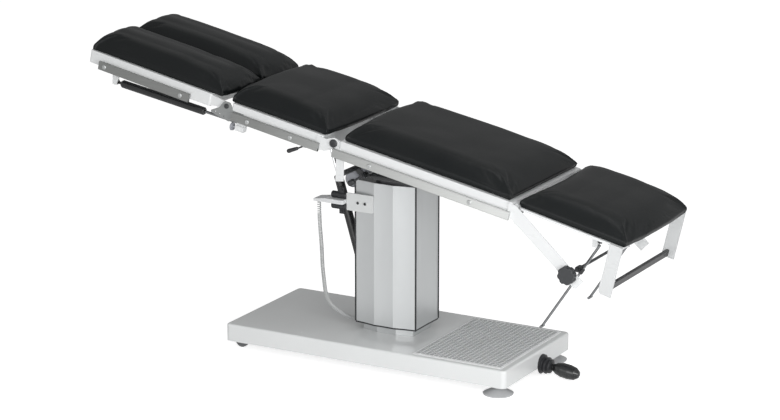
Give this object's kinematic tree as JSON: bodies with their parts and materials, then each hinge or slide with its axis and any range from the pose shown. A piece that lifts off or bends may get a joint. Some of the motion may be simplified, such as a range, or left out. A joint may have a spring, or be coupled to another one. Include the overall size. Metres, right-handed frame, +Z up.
{
  "type": "operating_table",
  "caption": "Column operating table with charcoal pads on white frames: split leg sections, seat, long back and head section with stays, telescopic column and low floor base.",
  "frame": {"origin": "on the floor under the middle of the table's length", "axes": "+X to the head end, -Y to the side with the hand control, +Z up"},
  "size_m": [2.0657, 0.5615, 1.0731],
  "materials": {
    "white_enamel": "smooth satin enamel",
    "silver_cover": "satin silver powder coat",
    "grey_paint": "light grey paint",
    "dark_paint": "satin black paint",
    "bright_steel": "polished",
    "black_gloss": "smooth black paint",
    "rail_steel": "brushed lengthwise",
    "black_plastic": "fine moulded grain",
    "black_rubber": "matte",
    "mat_rubber": "matte, studded",
    "light_plastic": "satin moulded",
    "upholstery": "soft satin leatherette"
  },
  "bodies": {
    "base": {"base_cover": "white_enamel", "chassis_frame": "grey_paint", "tread_mat": "mat_rubber", "column_foot_tube": "silver_cover", "lift_drive": "grey_paint", "levelling_feet": "bright_steel", "lever_boot": "black_rubber", "cord_gland": "black_plastic", "handset_cord": "light_plastic"},
    "foot_lever": {"foot_lever": "dark_paint"},
    "transport_wheels": {"transport_wheels": "black_rubber"},
    "castor_fork_near": {"castor_fork_near": "bright_steel"},
    "castor_fork_far": {"castor_fork_far": "bright_steel"},
    "castor_wheel_near": {"castor_wheel_near": "black_rubber"},
    "castor_wheel_far": {"castor_wheel_far": "black_rubber"},
    "column_middle": {"column_middle_tube": "silver_cover", "guide_pads": "black_plastic"},
    "column": {"column_seals": "black_rubber", "column_cover": "silver_cover", "tilt_mounts": "dark_paint", "head_skirt": "dark_paint", "tilt_motor": "grey_paint", "handset_plate": "silver_cover", "handset_grips": "black_rubber", "handset": "light_plastic"},
    "tilt_block": {"tilt_block": "bright_steel"},
    "seat": {"carrier_frame": "dark_paint", "seat_pan": "white_enamel", "side_brackets": "white_enamel", "gusset_plates": "rail_steel", "seat_rails": "rail_steel", "hinge_pins": "black_plastic", "seat_cushion": "upholstery"},
    "seat_lever": {"seat_lever": "dark_paint"},
    "latch_knob": {"latch_knob": "grey_paint"},
    "back_lever": {"back_lever": "black_plastic"},
    "back": {"back_pan": "white_enamel", "back_rails": "rail_steel", "back_cushion": "upholstery"},
    "star_knob": {"star_knob": "black_plastic"},
    "head": {"head_board": "white_enamel", "head_legs": "white_enamel", "head_bar": "dark_paint", "head_cushion": "upholstery"},
    "stay_rods": {"stay_rods": "bright_steel"},
    "stay_clamps": {"stay_clamps": "dark_paint"},
    "leg_near": {"leg_pan_near": "white_enamel", "leg_rail_near": "rail_steel", "leg_cushion_near": "upholstery"},
    "leg_far": {"leg_pan_far": "white_enamel", "leg_rail_far": "rail_steel", "leg_cushion_far": "upholstery"},
    "leg_spring_body_near": {"leg_spring_body_near": "black_gloss"},
    "leg_spring_body_far": {"leg_spring_body_far": "black_gloss"},
    "leg_spring_rod_near": {"leg_spring_rod_near": "bright_steel"},
    "leg_spring_rod_far": {"leg_spring_rod_far": "bright_steel"},
    "back_spring_bodies": {"back_spring_bodies": "black_gloss"},
    "back_spring_rods": {"back_spring_rods": "bright_steel"},
    "tilt_strut_body": {"tilt_strut_body": "black_gloss"},
    "tilt_strut_rod": {"tilt_strut_rod": "bright_steel"}
  },
  "joints": [
    {"name": "lift", "type": "slide", "parent": "base", "child": "column", "axis": [0, 0, 1], "range_m": [0, 0.3], "deforming": ["handset_cord"]},
    {"name": "lift_middle", "type": "slide", "parent": "base", "child": "column_middle", "axis": [0, 0, 1], "range_m": [0, 0.15]},
    {"name": "tilt", "type": "hinge", "parent": "column", "child": "tilt_block", "pos_m": [0.055, 0, 0.7], "axis": [0, 1, 0], "range_deg": [-20, 13]},
    {"name": "roll", "type": "hinge", "parent": "tilt_block", "child": "seat", "pos_m": [0.055, 0, 0.7], "axis": [0.9806, 0, -0.1959], "range_deg": [-15, 15]},
    {"name": "tilt_strut_swing", "type": "hinge", "parent": "column", "child": "tilt_strut_body", "pos_m": [-0.085, 0, 0.306], "axis": [0, 1, 0], "range_deg": [-6.18, 4.37]},
    {"name": "tilt_strut_stroke", "type": "slide", "parent": "tilt_strut_body", "child": "tilt_strut_rod", "axis": [-0.2886, 0, 0.9575], "range_m": [-0.09193, 0.06115]},
    {"name": "back", "type": "hinge", "parent": "seat", "child": "back", "pos_m": [-0.043, 0, 0.8], "axis": [0, -1, 0], "range_deg": [-3, 55]},
    {"name": "back_spring_swing", "type": "hinge", "parent": "seat", "child": "back_spring_bodies", "pos_m": [0.00762, 0, 0.67057], "axis": [0, -1, 0], "range_deg": [-5, 55]},
    {"name": "back_spring_stroke", "type": "slide", "parent": "back_spring_bodies", "child": "back_spring_rods", "axis": [1, 0, 0.0002], "range_m": [-0.012, 0.135]},
    {"name": "head", "type": "hinge", "parent": "back", "child": "head", "pos_m": [0.63245, 0, 0.66911], "axis": [0, -1, 0], "range_deg": [-15, 30]},
    {"name": "stay_clamp_swing", "type": "hinge", "parent": "back", "child": "stay_clamps", "pos_m": [0.8333, 0, 0.46989], "axis": [0, -1, 0], "range_deg": [-9, 16]},
    {"name": "stay_rod_swing", "type": "hinge", "parent": "head", "child": "stay_rods", "pos_m": [0.89362, 0, 0.56039], "axis": [0, -1, 0], "range_deg": [-16, 9]},
    {"name": "star_knob_turn", "type": "hinge", "parent": "back", "child": "star_knob", "pos_m": [0.8333, 0, 0.46989], "axis": [0, 1, 0], "continuous": true},
    {"name": "leg_near", "type": "hinge", "parent": "seat", "child": "leg_near", "pos_m": [-0.46447, 0, 0.88014], "axis": [0, 1, 0], "range_deg": [-75, 10]},
    {"name": "leg_spring_swing_near", "type": "hinge", "parent": "leg_near", "child": "leg_spring_body_near", "pos_m": [-0.93648, 0, 0.90928], "axis": [0, 1, 0], "range_deg": [-1.52, 4.9]},
    {"name": "leg_spring_stroke_near", "type": "slide", "parent": "leg_spring_body_near", "child": "leg_spring_rod_near", "axis": [0.9844, 0, -0.1758], "range_m": [-0.09799, 0.01653]},
    {"name": "leg_far", "type": "hinge", "parent": "seat", "child": "leg_far", "pos_m": [-0.46447, 0, 0.88014], "axis": [0, 1, 0], "range_deg": [-75, 10]},
    {"name": "leg_spring_swing_far", "type": "hinge", "parent": "leg_far", "child": "leg_spring_body_far", "pos_m": [-0.93648, 0, 0.90928], "axis": [0, 1, 0], "range_deg": [-1.52, 4.9]},
    {"name": "leg_spring_stroke_far", "type": "slide", "parent": "leg_spring_body_far", "child": "leg_spring_rod_far", "axis": [0.9844, 0, -0.1758], "range_m": [-0.09799, 0.01653]},
    {"name": "seat_lever", "type": "hinge", "parent": "seat", "child": "seat_lever", "pos_m": [-0.16223, -0.246, 0.77488], "axis": [0, 1, 0], "range_deg": [0, 15], "stiffness_Nm_per_rad": 1.5, "springref_deg": -2.86},
    {"name": "latch_knob", "type": "hinge", "parent": "seat", "child": "latch_knob", "pos_m": [-0.43053, -0.259, 0.81013], "axis": [-0.9988, 0, 0.0483], "continuous": true},
    {"name": "back_lever", "type": "hinge", "parent": "seat", "child": "back_lever", "pos_m": [0.00762, -0.157, 0.67057], "axis": [0, 1, 0], "range_deg": [0, 20], "stiffness_Nm_per_rad": 2, "springref_deg": -2.86},
    {"name": "foot_lever", "type": "hinge", "parent": "base", "child": "foot_lever", "pos_m": [0.555, 0, 0.05], "axis": [0, 1, 0], "range_deg": [-14, 0], "deforming": ["lever_boot"]},
    {"name": "transport_wheel_spin", "type": "hinge", "parent": "foot_lever", "child": "transport_wheels", "pos_m": [0.535, 0, 0.028], "axis": [0, 1, 0], "continuous": true},
    {"name": "castor_swivel_near", "type": "hinge", "parent": "base", "child": "castor_fork_near", "pos_m": [-0.436, -0.19, 0.05], "axis": [0, 0, 1], "continuous": true},
    {"name": "castor_wheel_spin_near", "type": "hinge", "parent": "castor_fork_near", "child": "castor_wheel_near", "pos_m": [-0.46, -0.19, 0.025], "axis": [0, 1, 0], "continuous": true},
    {"name": "castor_swivel_far", "type": "hinge", "parent": "base", "child": "castor_fork_far", "pos_m": [-0.436, 0.19, 0.05], "axis": [0, 0, 1], "continuous": true},
    {"name": "castor_wheel_spin_far", "type": "hinge", "parent": "castor_fork_far", "child": "castor_wheel_far", "pos_m": [-0.46, 0.19, 0.025], "axis": [0, 1, 0], "continuous": true}
  ],
  "couplings": [
    {"joint": "lift_middle", "follows": "lift", "ratio": 0.5},
    {"joint": "tilt_strut_swing", "follows": "tilt", "ratio": 0.2589},
    {"joint": "tilt_strut_stroke", "follows": "tilt", "m_per_rad": 0.2519},
    {"joint": "back_spring_swing", "follows": "back", "ratio": 0.96736},
    {"joint": "back_spring_stroke", "follows": "back", "m_per_rad": 0.13316},
    {"joint": "stay_clamp_swing", "follows": "head", "ratio": 0.5},
    {"joint": "stay_rod_swing", "follows": "head", "ratio": -0.5},
    {"joint": "leg_spring_swing_near", "follows": "leg_near", "ratio": -0.052},
    {"joint": "leg_spring_stroke_near", "follows": "leg_near", "m_per_rad": 0.0718},
    {"joint": "leg_spring_swing_far", "follows": "leg_far", "ratio": -0.052},
    {"joint": "leg_spring_stroke_far", "follows": "leg_far", "m_per_rad": 0.0718}
  ]
}
